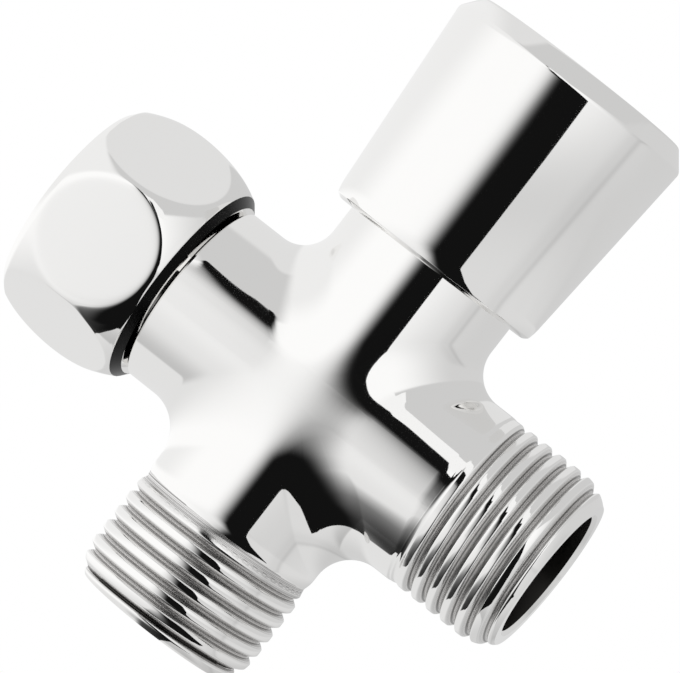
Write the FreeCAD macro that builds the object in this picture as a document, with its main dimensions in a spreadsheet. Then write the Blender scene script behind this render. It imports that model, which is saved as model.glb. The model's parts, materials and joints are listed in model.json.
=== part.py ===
"""Shower diverter valve: a cross-shaped body with a swivel nut inlet, two threaded outlets and a knob.

The two axes of the body cross at its middle. The knob arm points along +X and the side outlet along -X.
The inlet points along +Z and the lower outlet along -Z. Flow goes from the inlet through a quarter-turn
rotor either straight to the lower outlet or along the rotor's side slot to the side outlet.
The origin is on the inlet axis where the thread of the swivel nut begins. Lengths are millimetres.
"""
import FreeCAD, Part
import math
import os
import re

import Sketcher
from FreeCAD import Placement, Rotation, Vector

# Driving dimensions
SIZES = {
    # body
    "arm_radius": 10.4,
    "column_radius": 10.6,
    "knob_crotch_radius": 4.0,
    "outlet_crotch_radius": 4.6,
    "arm_edge": 0.4,
    "outlet_reach": 29.75,
    "thread_radius": 10.48,
    "neck_run": 3.15,
    "thread_chamfer": 1.15,
    "runout_width": 0.9,
    "runout_depth": 0.55,
    "outlet_bore": 7.5,
    "partition": 5.84,
    "mouth_chamfer": 0.4,
    "rim_width": 1.1,
    "passage_radius": 5.5,
    "knob_arm_reach": 18.8,
    # rotor and its chamber
    "rotor_radius": 7.4,
    "rotor_front": 7.0,
    "rotor_back": 9.3,
    "port_radius": 3.5,
    "slot_width": 7.4,
    "slot_wall": 1.0,
    "sleeve_wall": 0.9,
    "sleeve_port_margin": 0.5,
    "seat_ledge": 0.7,
    "running_gap": 0.06,
    "seat_gap": 0.05,
    "end_gap": 0.1,
    # quarter-turn stop
    "collar_radius": 5.8,
    "collar_length": 1.4,
    "stop_thickness": 1.2,
    "stop_gap": 0.3,
    "turn_angle": 90,
    "lug_angle": 25,
    "stop_slack": 1.5,
    "tab_width": 3.0,
    # bonnet and stem
    "thrust_thickness": 0.8,
    "stem_radius": 4.5,
    "nose_length": 0.8,
    "gland_wall": 1.45,
    "seal_section": 0.75,
    "ring_section": 0.65,
    "ring_slack": 0.03,
    "ring_room": 0.15,
    "ring_inset": 2.6,
    "ring_spacing": 3.5,
    "flange_thickness": 1.0,
    "bonnet_hex": 15.0,
    "bonnet_hex_height": 3.0,
    # knob and its fixing
    "knob_overlap": 1.2,
    "knob_length": 25.7,
    "knob_small_radius": 12.68,
    "knob_large_radius": 14.45,
    "knob_face_radius": 12.75,
    "knob_chamfer": 2.2,
    "knob_edge": 0.4,
    "skirt_gap": 0.45,
    "hub_gap": 0.15,
    "shaft_radius": 4.0,
    "shaft_flat": 3.0,
    "shaft_length": 12.0,
    "shaft_fit": 0.04,
    "screw_radius": 2.0,
    "screw_length": 6.0,
    "screw_inset": 6.0,
    "screw_hex": 2.0,
    "screw_hex_depth": 2.0,
    "screw_tip": 0.6,
    # inlet neck and swivel nut
    "inlet_shoulder": 18.7,
    "nipple_radius": 8.3,
    "nipple_length": 5.9,
    "nut_gap": 0.3,
    "nut_length": 15.8,
    "nut_radius": 13.85,
    "nut_belly": 8.3,
    "nut_curve": 15.2,
    "nut_chamfer": 0.8,
    "nut_inner_rim": 10.9,
    "nut_outer_rim": 11.4,
    "nut_flats": 24.2,
    "nut_turn": 6,
    "nut_thread_radius": 10.6,
    "nut_mouth": 0.6,
    "nut_relief": 0.3,
    "washer_room": 0.35,
    "lip_length": 3.2,
    "lip_gap": 0.08,
    "wire_radius": 0.6,
    "wire_split": 15,
    "wire_room": 0.1,
    "wire_cover": 0.55,
    "washer_thickness": 2.2,
    "washer_radius": 10.0,
    "washer_hole": 5.6,
    "washer_drop": 0.2,
    "screen_radius": 6.2,
    "screen_thickness": 0.6,
    "screen_hole": 0.55,
    "screen_pitch": 1.6,
}

# Places that follow from the driving dimensions
PLACES = {
    "thread_start": "column_radius + outlet_crotch_radius + neck_run",
    "runout_end": "thread_start + runout_width",
    "runout_radius": "thread_radius - runout_depth",
    "rim_radius": "outlet_bore + mouth_chamfer + rim_width",
    "bore_floor": "chamber_radius + partition",
    "chamber_radius": "rotor_radius + running_gap + sleeve_wall + seat_gap",
    "chamber_back": "rotor_back + 2 * end_gap",
    "seat_bore": "rotor_radius - seat_ledge",
    "stop_bore": "collar_radius + stop_gap",
    "stop_radius": "chamber_radius - end_gap",
    "tab_reach": "gland_thread - seat_gap",
    "collar_end": "rotor_front + collar_length",
    "thrust_start": "collar_end + end_gap",
    "bonnet_start": "thrust_start + thrust_thickness + end_gap",
    "gland_start": "bonnet_start + nose_length",
    "gland_bore": "arm_radius - gland_wall",
    "gland_thread": "gland_bore - seat_gap",
    "seal_width": "2 * (seal_section + ring_room)",
    "seal_start": "knob_arm_reach - seal_width",
    "seal_seat": "gland_bore + 0.5 * seal_section",
    "seal_centre": "seal_seat - ring_slack - seal_section",
    "seal_floor": "seal_centre - seal_section - ring_slack",
    "seal_middle": "knob_arm_reach - 0.5 * seal_width",
    "flange_start": "knob_arm_reach + seat_gap",
    "flange_end": "flange_start + flange_thickness",
    "hex_end": "flange_end + bonnet_hex_height",
    "stem_bore": "stem_radius + running_gap",
    "ring_centre": "stem_bore - ring_slack - ring_section",
    "ring_floor": "ring_centre - ring_section - ring_slack",
    "ring_half": "ring_section + ring_room",
    "inner_ring": "bonnet_start + ring_inset",
    "outer_ring": "inner_ring + ring_spacing",
    "stem_end": "hex_end + hub_gap",
    "shaft_end": "stem_end + shaft_length",
    "knob_start": "knob_arm_reach - knob_overlap",
    "knob_end": "knob_start + knob_length",
    "cavity_radius": "arm_radius + skirt_gap",
    "cavity_floor": "stem_end + hub_gap",
    "nipple_top": "inlet_shoulder + nipple_length",
    "nut_start": "inlet_shoulder + nut_gap",
    "nut_end": "nut_start + nut_length",
    "nut_middle": "nut_start + nut_belly",
    "lip_top": "nut_start + lip_length",
    "wire_height": "lip_top + wire_room + wire_radius",
    "wire_centre": "nipple_radius",
    "groove_floor": "wire_centre - wire_radius - wire_room",
    "wire_bore": "wire_centre + wire_radius + wire_cover",
    "groove_top": "wire_height + wire_radius + wire_room",
    "groove_bottom": "lip_top",
    "nut_floor": "nipple_top - washer_drop",
    "washer_bottom": "nipple_top + seat_gap",
    "washer_top": "washer_bottom + washer_thickness",
    "relief_top": "washer_top + washer_room",
    "relief_radius": "nut_thread_radius + nut_relief",
    "origin_height": "nut_end - nut_mouth",
    "screen_seat": "screen_radius + seat_gap",
    "screen_drop": "screen_thickness + 2 * end_gap",
    "stop_angle": "turn_angle + lug_angle + 2 * stop_slack",
}

AXIS_X = Rotation(Vector(1, 1, 1), 120)
AXIS_Y = Rotation(Vector(1, 0, 0), -90)
UPRIGHT = Rotation()
LUG_SIDE = 180
SCREEN_RINGS = 3

doc = FreeCAD.newDocument("shower_diverter_valve")
sheet = doc.addObject("Spreadsheet::Sheet", "dims")
for row, (alias, value) in enumerate(SIZES.items(), start=1):
    sheet.set(f"A{row}", alias)
    sheet.set(f"B{row}", str(value))
    sheet.setAlias(f"B{row}", alias)
doc.recompute()


def bind(text):
    """Write out a formula of dimension and place names as one that reads the sheet."""
    def expand(match):
        word = match[0]
        if word in PLACES:
            return f"({bind(PLACES[word])})"
        return f"dims.{word}" if word in SIZES else word
    return re.sub(r"[a-z]\w*", expand, text)


def value(text):
    """Work out a formula of dimension and place names as a plain number."""
    return float(sheet.evalExpression(bind(text)))


def tie(item, **formulas):
    """Bind properties of an object to formulas of the sheet; two underscores stand for a dot."""
    for name, formula in formulas.items():
        item.setExpression(name.replace("__", "."), bind(formula))
    return item


def place(item, rotation=UPRIGHT, x="0", y="0", z="0"):
    """Turn an object and put its own origin at a point measured from the crossing of the axes."""
    item.Placement = Placement(Vector(), rotation)
    return tie(item, Placement__Base__x=x, Placement__Base__y=y, Placement__Base__z=f"{z} - origin_height")


def primitive(kind, name, rotation=UPRIGHT, at=("0", "0", "0"), **formulas):
    """Add a basic solid whose sizes and place follow the sheet."""
    item = tie(doc.addObject(f"Part::{kind}", name), **formulas)
    return place(item, rotation, *at)


def outline(body, name, points, arcs=None):
    """Draw a closed profile on the body's XZ plane from formulas, with given radii on some of its sides."""
    arcs = arcs or {}
    plane = next(item for item in body.Origin.OriginFeatures if item.Role == "XZ_Plane")
    sketch = body.newObject("Sketcher::SketchObject", name)
    sketch.AttachmentSupport = [(plane, "")]
    sketch.MapMode = "FlatFace"
    corners = [Vector(value(across), value(along), 0) for across, along in points]
    ends = corners[1:] + corners[:1]
    for index, (start, end) in enumerate(zip(corners, ends)):
        if index in arcs:
            radius = value(arcs[index])
            middle = 0.5 * (start + end)
            half = 0.5 * (end - start)
            normal = Vector(half.y, -half.x, 0).normalize()
            bulge = radius - math.sqrt(radius ** 2 - half.Length ** 2)
            sketch.addGeometry(Part.Arc(start, middle + bulge * normal, end))
        else:
            sketch.addGeometry(Part.LineSegment(start, end))
    arc_starts = {index: 1 if corners[index].y < ends[index].y else 2 for index in arcs}
    for index, (across, along) in enumerate(points):
        before = (index - 1) % len(points)
        first = arc_starts.get(index, 1)
        last = 3 - arc_starts.get(before, 1)
        sketch.addConstraint(Sketcher.Constraint("Coincident", before, last, index, first))
        for kind, axis, formula in (("DistanceX", -2, across), ("DistanceY", -1, along)):
            if formula == "0":
                sketch.addConstraint(Sketcher.Constraint("PointOnObject", index, first, axis))
                continue
            distance = value(formula)
            number = sketch.addConstraint(Sketcher.Constraint(kind, -1, 1, index, first, distance))
            sketch.setExpression(f"Constraints[{number}]", bind(formula))
    for index, formula in arcs.items():
        number = sketch.addConstraint(Sketcher.Constraint("Radius", index, value(formula)))
        sketch.setExpression(f"Constraints[{number}]", bind(formula))
    return sketch


def turn(body, name, axis, points, cut=False, arcs=None):
    """Add or cut the solid that a profile sweeps about the body's X or Z axis."""
    sketch = outline(body, f"{name}_profile", points, arcs)
    feature = body.newObject("PartDesign::Groove" if cut else "PartDesign::Revolution", name)
    feature.Profile = sketch
    feature.ReferenceAxis = (sketch, ["H_Axis" if axis == "X" else "V_Axis"])
    feature.Angle = 360
    doc.recompute()
    return feature


def turned(name, axis, points, arcs=None):
    """Make a body from one turned profile, measured from the crossing of the axes."""
    body = doc.addObject("PartDesign::Body", name)
    turn(body, f"{name}_turning", axis, points, arcs=arcs)
    return place(body)


def combine(kind, name, base, tool):
    """Join, cut or intersect two solids."""
    item = doc.addObject(f"Part::{kind}", name)
    item.Base = base
    item.Tool = tool
    return item


def joined(name, solids):
    """Join several solids into one."""
    item = doc.addObject("Part::MultiFuse", name)
    item.Shapes = solids
    return item


def seal_ring(name, section, centre, x):
    """Make a rubber ring of round section about the knob's axis."""
    return primitive("Torus", name, AXIS_X, (x, "0", "0"), Radius1=centre, Radius2=section)


def valve_body():
    """Cast cross with turned ends, a run-out groove behind each thread, two flow bores and a key notch."""
    body = doc.addObject("PartDesign::Body", "body_casting")
    turn(body, "cross_arm", "X", [
        ("-outlet_reach", "0"),
        ("-outlet_reach", "rim_radius"),
        ("thread_chamfer - outlet_reach", "thread_radius"),
        ("-runout_end", "thread_radius"),
        ("-runout_end", "runout_radius"),
        ("-thread_start", "runout_radius"),
        ("-thread_start", "arm_radius"),
        ("knob_arm_reach - arm_edge", "arm_radius"),
        ("knob_arm_reach", "arm_radius - arm_edge"),
        ("knob_arm_reach", "0"),
    ])
    column = turn(body, "column", "Z", [
        ("0", "-outlet_reach"),
        ("rim_radius", "-outlet_reach"),
        ("thread_radius", "thread_chamfer - outlet_reach"),
        ("thread_radius", "-runout_end"),
        ("runout_radius", "-runout_end"),
        ("runout_radius", "-thread_start"),
        ("column_radius", "-thread_start"),
        ("column_radius", "inlet_shoulder - arm_edge"),
        ("column_radius - arm_edge", "inlet_shoulder"),
        ("nipple_radius", "inlet_shoulder"),
        ("nipple_radius", "groove_bottom"),
        ("groove_floor", "groove_bottom"),
        ("groove_floor", "groove_top"),
        ("nipple_radius", "groove_top"),
        ("nipple_radius", "nipple_top"),
        ("0", "nipple_top"),
    ])
    blended = column
    for crotch, side in (("knob_crotch", 1), ("outlet_crotch", -1)):
        fillet = body.newObject("PartDesign::Fillet", f"{crotch}_fillet")
        fillet.Base = (blended, crossing_edges(blended.Shape, side))
        tie(fillet, Radius=f"{crotch}_radius")
        doc.recompute()
        blended = fillet
    turn(body, "cross_bore", "X", [
        ("-outlet_reach", "0"),
        ("-outlet_reach", "outlet_bore + mouth_chamfer"),
        ("mouth_chamfer - outlet_reach", "outlet_bore"),
        ("-bore_floor", "outlet_bore"),
        ("-bore_floor", "seat_bore"),
        ("-chamber_back", "seat_bore"),
        ("-chamber_back", "chamber_radius"),
        ("gland_start", "chamber_radius"),
        ("gland_start", "gland_bore"),
        ("seal_start", "gland_bore"),
        ("seal_start", "seal_seat"),
        ("knob_arm_reach", "seal_seat"),
        ("knob_arm_reach", "0"),
    ], cut=True)
    turn(body, "column_bore", "Z", [
        ("0", "-outlet_reach"),
        ("outlet_bore + mouth_chamfer", "-outlet_reach"),
        ("outlet_bore", "mouth_chamfer - outlet_reach"),
        ("outlet_bore", "-bore_floor"),
        ("passage_radius", "-bore_floor"),
        ("passage_radius", "nipple_top - screen_drop"),
        ("screen_seat", "nipple_top - screen_drop"),
        ("screen_seat", "nipple_top"),
        ("0", "nipple_top"),
    ], cut=True)
    place(body)
    notch = primitive("Box", "stop_notch", at=("rotor_front", "-gland_bore", "-0.5 * tab_width - seat_gap"),
                      Length="gland_start - rotor_front", Width="gland_bore - stop_bore",
                      Height="tab_width + 2 * seat_gap")
    return combine("Cut", "valve_body", body, notch)


def crossing_edges(shape, side):
    """Name the curved edges where the arms of the cross meet, on the +X side (1) or the -X side (-1)."""
    plain = ("Part::GeomCircle", "Part::GeomLine")
    return [f"Edge{number}" for number, edge in enumerate(shape.Edges, start=1)
            if edge.Curve.TypeId not in plain and side * edge.CenterOfMass.x > 0]


def sleeve():
    """Low-friction liner of the chamber, open towards the inlet and the lower outlet."""
    tube = turned("sleeve_tube", "X", [
        ("end_gap - chamber_back", "rotor_radius + running_gap"),
        ("end_gap - chamber_back", "chamber_radius - seat_gap"),
        ("rotor_front - end_gap", "chamber_radius - seat_gap"),
        ("rotor_front - end_gap", "rotor_radius + running_gap"),
    ])
    ports = primitive("Cylinder", "sleeve_ports", at=("0", "0", "-chamber_radius"),
                      Radius="port_radius + sleeve_port_margin", Height="2 * chamber_radius")
    return combine("Cut", "rotor_sleeve", tube, ports)


def rotor():
    """Plug and stem in one piece, with a cross port, a side slot, ring grooves, a stop gap and a flat."""
    grooves = []
    for centre in ("inner_ring", "outer_ring"):
        grooves += [
            (f"{centre} - ring_half", "stem_radius"),
            (f"{centre} - ring_half", "ring_floor"),
            (f"{centre} + ring_half", "ring_floor"),
            (f"{centre} + ring_half", "stem_radius"),
        ]
    blank = turned("rotor_blank", "X", [
        ("-rotor_back", "0"),
        ("-rotor_back", "rotor_radius"),
        ("rotor_front", "rotor_radius"),
        ("rotor_front", "collar_radius"),
        ("collar_end", "collar_radius"),
        ("collar_end", "stem_radius"),
        *grooves,
        ("stem_end", "stem_radius"),
        ("stem_end", "shaft_radius"),
        ("shaft_end", "shaft_radius"),
        ("shaft_end", "0"),
    ])
    port = primitive("Cylinder", "rotor_port", at=("0", "0", "-rotor_radius"),
                     Radius="port_radius", Height="2 * rotor_radius")
    slot = primitive("Box", "rotor_slot", at=("-rotor_back", "port_radius + slot_wall", "-0.5 * slot_width"),
                     Length="rotor_back + port_radius", Width="rotor_radius", Height="slot_width")
    flat = primitive("Box", "shaft_flat_cut", at=("stem_end", "shaft_flat", "-shaft_radius"),
                     Length="shaft_length", Width="shaft_radius", Height="2 * shaft_radius")
    gap = sector("stop_gap_sector", "stop_angle", "0.5 * lug_angle + stop_slack - stop_angle",
                 "rotor_front", "collar_length", "stop_bore", "stem_radius")
    return combine("Cut", "rotor", blank, joined("rotor_cuts", [port, slot, flat, gap]))


def sector(name, angle, start, x, length, outer, inner):
    """Slice of a ring about the X axis; its angles count from the stop washer's lug."""
    wedge = primitive("Cylinder", f"{name}_wedge", at=(x, "0", "0"), Radius=outer, Height=length, Angle=angle)
    wedge.Placement = Placement(Vector(), AXIS_X * Rotation(Vector(0, 0, 1), LUG_SIDE + value(start)))
    core = primitive("Cylinder", f"{name}_core", AXIS_X, (x, "0", "0"), Radius=inner, Height=length)
    return combine("Cut", name, wedge, core)


def stop_washer():
    """Washer keyed into the body by a tab, with a lug that stops the rotor at both ends of its turn."""
    start = "rotor_front + end_gap"
    disc = primitive("Cylinder", "stop_disc", AXIS_X, (start, "0", "0"), Radius="stop_radius",
                     Height="stop_thickness")
    tab = primitive("Box", "stop_tab", at=(start, "-tab_reach", "-0.5 * tab_width"), Length="stop_thickness",
                    Width="tab_reach - stop_bore", Height="tab_width")
    hole = primitive("Cylinder", "stop_hole", AXIS_X, (start, "0", "0"), Radius="stop_bore",
                     Height="stop_thickness")
    lug = sector("stop_lug", "lug_angle", "-0.5 * lug_angle", start, "stop_thickness",
                 "0.5 * (stop_bore + stop_radius)", "stem_radius + stop_gap")
    keyed = combine("Cut", "stop_ring", joined("stop_blank", [disc, tab]), hole)
    return joined("stop_washer", [keyed, lug])


def thrust_washer():
    """Plain washer between the rotor's collar and the bonnet."""
    return turned("thrust_washer", "X", [
        ("thrust_start", "stem_radius + stop_gap"),
        ("thrust_start", "stop_radius"),
        ("thrust_start + thrust_thickness", "stop_radius"),
        ("thrust_start + thrust_thickness", "stem_radius + stop_gap"),
    ])


def bonnet():
    """Screwed gland with a nose in the chamber, a seal groove, a flange and a hexagon for the spanner."""
    blank = turned("bonnet_blank", "X", [
        ("bonnet_start", "0"),
        ("bonnet_start", "stop_radius"),
        ("gland_start + end_gap", "stop_radius"),
        ("gland_start + end_gap", "gland_thread"),
        ("seal_start", "gland_thread"),
        ("seal_start", "seal_floor"),
        ("flange_start", "seal_floor"),
        ("flange_start", "arm_radius - arm_edge"),
        ("flange_end", "arm_radius - arm_edge"),
        ("flange_end", "0"),
    ])
    head = primitive("Prism", "bonnet_head", AXIS_X, ("flange_end", "0", "0"),
                     Circumradius="0.5 * bonnet_hex / cos(30 deg)", Height="bonnet_hex_height")
    bore = primitive("Cylinder", "bonnet_bore", AXIS_X, ("bonnet_start", "0", "0"), Radius="stem_bore",
                     Height="hex_end - bonnet_start")
    return combine("Cut", "bonnet", joined("bonnet_solid", [blank, head]), bore)


def knob():
    """Tapered turned knob with a skirt over the neck, a D-shaped socket and a hole for the set screw."""
    blank = turned("knob_blank", "X", [
        ("knob_start", "cavity_radius"),
        ("knob_start", "knob_small_radius - knob_edge"),
        ("knob_start + knob_edge", "knob_small_radius"),
        ("knob_end - knob_chamfer", "knob_large_radius"),
        ("knob_end", "knob_face_radius"),
        ("knob_end", "0"),
        ("cavity_floor", "0"),
        ("cavity_floor", "cavity_radius"),
    ])
    round_socket = primitive("Cylinder", "round_socket", AXIS_X, ("stem_end", "0", "0"),
                             Radius="shaft_radius + shaft_fit", Height="shaft_length + hub_gap")
    socket_side = primitive("Box", "socket_side", at=("stem_end", "-2 * shaft_radius", "-2 * shaft_radius"),
                            Length="shaft_length + hub_gap", Height="4 * shaft_radius",
                            Width="2 * shaft_radius + shaft_flat + shaft_fit")
    socket = combine("Common", "knob_socket", round_socket, socket_side)
    hole = primitive("Cylinder", "screw_hole", AXIS_Y, ("stem_end + screw_inset", "0", "0"),
                     Radius="screw_radius + seat_gap", Height="knob_large_radius")
    return combine("Cut", "knob", blank, joined("knob_cuts", [socket, hole]))


def set_screw():
    """Grub screw with a hexagon socket, a cone point and a foot on the shaft's flat."""
    foot = "shaft_flat + seat_gap"
    body = doc.addObject("PartDesign::Body", "screw_blank")
    turn(body, "screw_turning", "Z", [
        ("0", "0"),
        ("screw_radius - screw_tip", "0"),
        ("screw_radius", "screw_tip"),
        ("screw_radius", "screw_length"),
        ("0", "screw_length"),
    ])
    place(body, AXIS_Y, "stem_end + screw_inset", foot)
    socket = primitive("Prism", "screw_socket", AXIS_Y,
                       ("stem_end + screw_inset", f"{foot} + screw_length - screw_hex_depth", "0"),
                       Circumradius="0.5 * screw_hex / cos(30 deg)", Height="screw_hex_depth")
    return combine("Cut", "set_screw", body, socket)


def swivel_nut():
    """Barrel nut with six round flats, an inner lip under the retaining ring and a threaded mouth."""
    curve = "nut_radius - nut_curve + sqrt(nut_curve ^ 2 - ({height} - nut_middle) ^ 2)"
    lower = "nut_start + nut_chamfer"
    upper = "nut_end - nut_chamfer"
    barrel = turned("nut_barrel", "Z", [
        ("nipple_radius + lip_gap", "nut_start"),
        ("nut_inner_rim", "nut_start"),
        (curve.format(height=f"({lower})"), lower),
        (curve.format(height=f"({upper})"), upper),
        ("nut_outer_rim", "nut_end"),
        ("nut_thread_radius + nut_mouth", "nut_end"),
        ("nut_thread_radius", "nut_end - nut_mouth"),
        ("nut_thread_radius", "relief_top"),
        ("relief_radius", "relief_top"),
        ("relief_radius", "nut_floor"),
        ("wire_bore", "nut_floor"),
        ("wire_bore", "lip_top"),
        ("nipple_radius + lip_gap", "lip_top"),
    ], arcs={2: "nut_curve"})
    flats = primitive("Prism", "nut_hexagon", at=("0", "0", "nut_start"),
                      Circumradius="0.5 * nut_flats / cos(30 deg)", Height="nut_length")
    flats.Placement = Placement(Vector(), Rotation(Vector(0, 0, -1), value("nut_turn")))
    tie(flats, Placement__Rotation__Angle="nut_turn")
    return combine("Common", "swivel_nut", barrel, flats)


def nut_retaining_ring():
    """Split round-wire ring in the neck's groove, above the nut's lip."""
    return primitive("Torus", "nut_retaining_ring", at=("0", "0", "wire_height"), Radius1="wire_centre",
                     Radius2="wire_radius", Angle3="360 - wire_split")


def inlet_washer():
    """Flat rubber washer on the neck's end."""
    return turned("inlet_washer", "Z", [
        ("washer_hole", "washer_bottom"),
        ("washer_radius", "washer_bottom"),
        ("washer_radius", "washer_top"),
        ("washer_hole", "washer_top"),
    ])


def inlet_screen():
    """Thin disc in the neck's mouth, pierced by rings of small holes."""
    bottom = "nipple_top - screen_drop + end_gap"
    disc = primitive("Cylinder", "screen_disc", at=("0", "0", bottom), Radius="screen_radius",
                     Height="screen_thickness")
    holes = []
    for circle in range(SCREEN_RINGS + 1):
        for step in range(max(1, 6 * circle)):
            turn_by = 60 * step / max(1, circle)
            reach = f"{circle} * screen_pitch"
            spot = (f"{reach} * cos({turn_by} deg)", f"{reach} * sin({turn_by} deg)")
            holes.append(primitive("Cylinder", f"screen_hole_{circle}_{step}", at=(*spot, bottom),
                                   Radius="screen_hole", Height="screen_thickness"))
    return combine("Cut", "inlet_screen", disc, joined("screen_holes", holes))


NODES = {
    "valve_body": valve_body(),
    "rotor_sleeve": sleeve(),
    "rotor": rotor(),
    "stop_washer": stop_washer(),
    "thrust_washer": thrust_washer(),
    "bonnet": bonnet(),
    "bonnet_seal_ring": seal_ring("bonnet_seal_ring", "seal_section", "seal_centre", "seal_middle"),
    "stem_ring_inner": seal_ring("stem_ring_inner", "ring_section", "ring_centre", "inner_ring"),
    "stem_ring_outer": seal_ring("stem_ring_outer", "ring_section", "ring_centre", "outer_ring"),
    "knob": knob(),
    "set_screw": set_screw(),
    "swivel_nut": swivel_nut(),
    "nut_retaining_ring": nut_retaining_ring(),
    "inlet_washer": inlet_washer(),
    "inlet_screen": inlet_screen(),
}
doc.recompute()

for item in doc.Objects:
    if {"Invalid", "Error"} & set(item.State):
        raise RuntimeError(f"{item.Name} could not be built: {item.State}")
for node, item in NODES.items():
    if item.Shape.isNull() or not item.Shape.isValid():
        raise RuntimeError(f"{node} has no valid shape")

os.makedirs("parts", exist_ok=True)
for node, item in NODES.items():
    item.Label = node
    item.Shape.exportStep(f"parts/{node}.step")
    print(f"{node}: {len(item.Shape.Solids)} solid, {item.Shape.Volume:.1f} cubic millimetres")
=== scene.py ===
"""Shower diverter valve: cut threads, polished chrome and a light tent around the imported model.

Laid out as an add-on and run as a script. Lengths are metres in the model's own frame: the knob points
along +X, the inlet along +Z, and both arms of the cross meet at CROSSING. Every new piece is a set of
grids of points, each a function of two parameters, whose seams coincide and are merged.
"""
import json
import math

import bmesh
import bpy
import numpy as np
from bpy.props import FloatProperty, FloatVectorProperty, IntProperty, PointerProperty
from bpy.types import Operator, Panel, PropertyGroup
from mathutils import Matrix, Vector


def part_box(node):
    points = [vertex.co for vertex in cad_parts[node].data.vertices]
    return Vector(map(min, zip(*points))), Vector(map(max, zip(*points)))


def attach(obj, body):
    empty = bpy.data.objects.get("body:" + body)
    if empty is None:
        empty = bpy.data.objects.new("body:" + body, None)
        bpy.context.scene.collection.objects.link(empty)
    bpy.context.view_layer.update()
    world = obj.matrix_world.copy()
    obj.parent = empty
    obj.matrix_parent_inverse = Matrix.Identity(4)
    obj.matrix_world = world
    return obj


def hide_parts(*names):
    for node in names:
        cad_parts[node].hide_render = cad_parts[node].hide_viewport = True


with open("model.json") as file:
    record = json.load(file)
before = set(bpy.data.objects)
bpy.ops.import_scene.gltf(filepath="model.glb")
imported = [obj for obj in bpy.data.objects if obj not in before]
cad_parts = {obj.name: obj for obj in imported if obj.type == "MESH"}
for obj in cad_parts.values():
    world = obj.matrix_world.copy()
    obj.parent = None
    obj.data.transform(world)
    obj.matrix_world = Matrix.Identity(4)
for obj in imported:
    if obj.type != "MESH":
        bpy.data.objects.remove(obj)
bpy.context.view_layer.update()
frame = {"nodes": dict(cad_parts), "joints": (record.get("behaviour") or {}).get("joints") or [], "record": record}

bl_info = {
    "name": "Shower Diverter Valve",
    "version": (1, 0, 0),
    "blender": (4, 5, 0),
    "location": "View3D > Sidebar > Diverter",
    "description": "Cut threads, polished chrome and a light tent for a shower diverter valve",
    "category": "Object",
}

MM = 0.001
MERGE = 0.001 * MM
MOUNTS = {mount["name"]: mount for mount in frame["record"]["mounts"]}
JOINTS = {joint["name"]: joint for joint in frame["joints"]}
CROSSING = Vector(JOINTS["knob_turn"]["pos_m"])
BODY_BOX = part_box("valve_body")
NUT_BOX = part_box("swivel_nut")
KNOB_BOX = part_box("knob")
INLET = MOUNTS["inlet"]
OUTLET = MOUNTS["side_outlet"]
SHARP_ANGLE = math.radians(32)
SCREEN_GAMMA = 2.2
CHROME_SHARE = 0.95
NEWTON_STEPS = 8

# Rows and columns of the grids
WALL_ROWS = 25
GAP_COLUMNS = 9
CORNER_ROWS = 5
BORE_COLUMNS = 96
BARREL_ROWS = 72
BEVEL_ROWS = 6
NUT_THREAD_ROWS = 97
FOOT_ROWS = 9
KNOB_COLUMNS = 240
TENT_ROWS, TENT_COLUMNS = 181, 256
CARD_ROWS, CARD_COLUMNS = 161, 91


def length(name, description, size):
    """A length property whose default is given in metres."""
    return FloatProperty(name=name, description=description, default=size, min=0, precision=5,
                         subtype="DISTANCE", unit="LENGTH")


def angle(name, description, degrees):
    """An angle property whose default is given in degrees."""
    return FloatProperty(name=name, description=description, default=math.radians(degrees),
                         subtype="ANGLE", unit="ROTATION")


def share(name, description, default):
    """A share from nought to one."""
    return FloatProperty(name=name, description=description, default=default, min=0, max=1,
                         subtype="FACTOR")


def number(name, description, default):
    """A plain number that is at least one."""
    return FloatProperty(name=name, description=description, default=default, min=1)


def colour(name, description, default):
    """A colour property."""
    return FloatVectorProperty(name=name, description=description, default=default, size=3, min=0, max=1,
                               subtype="COLOR")


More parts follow.
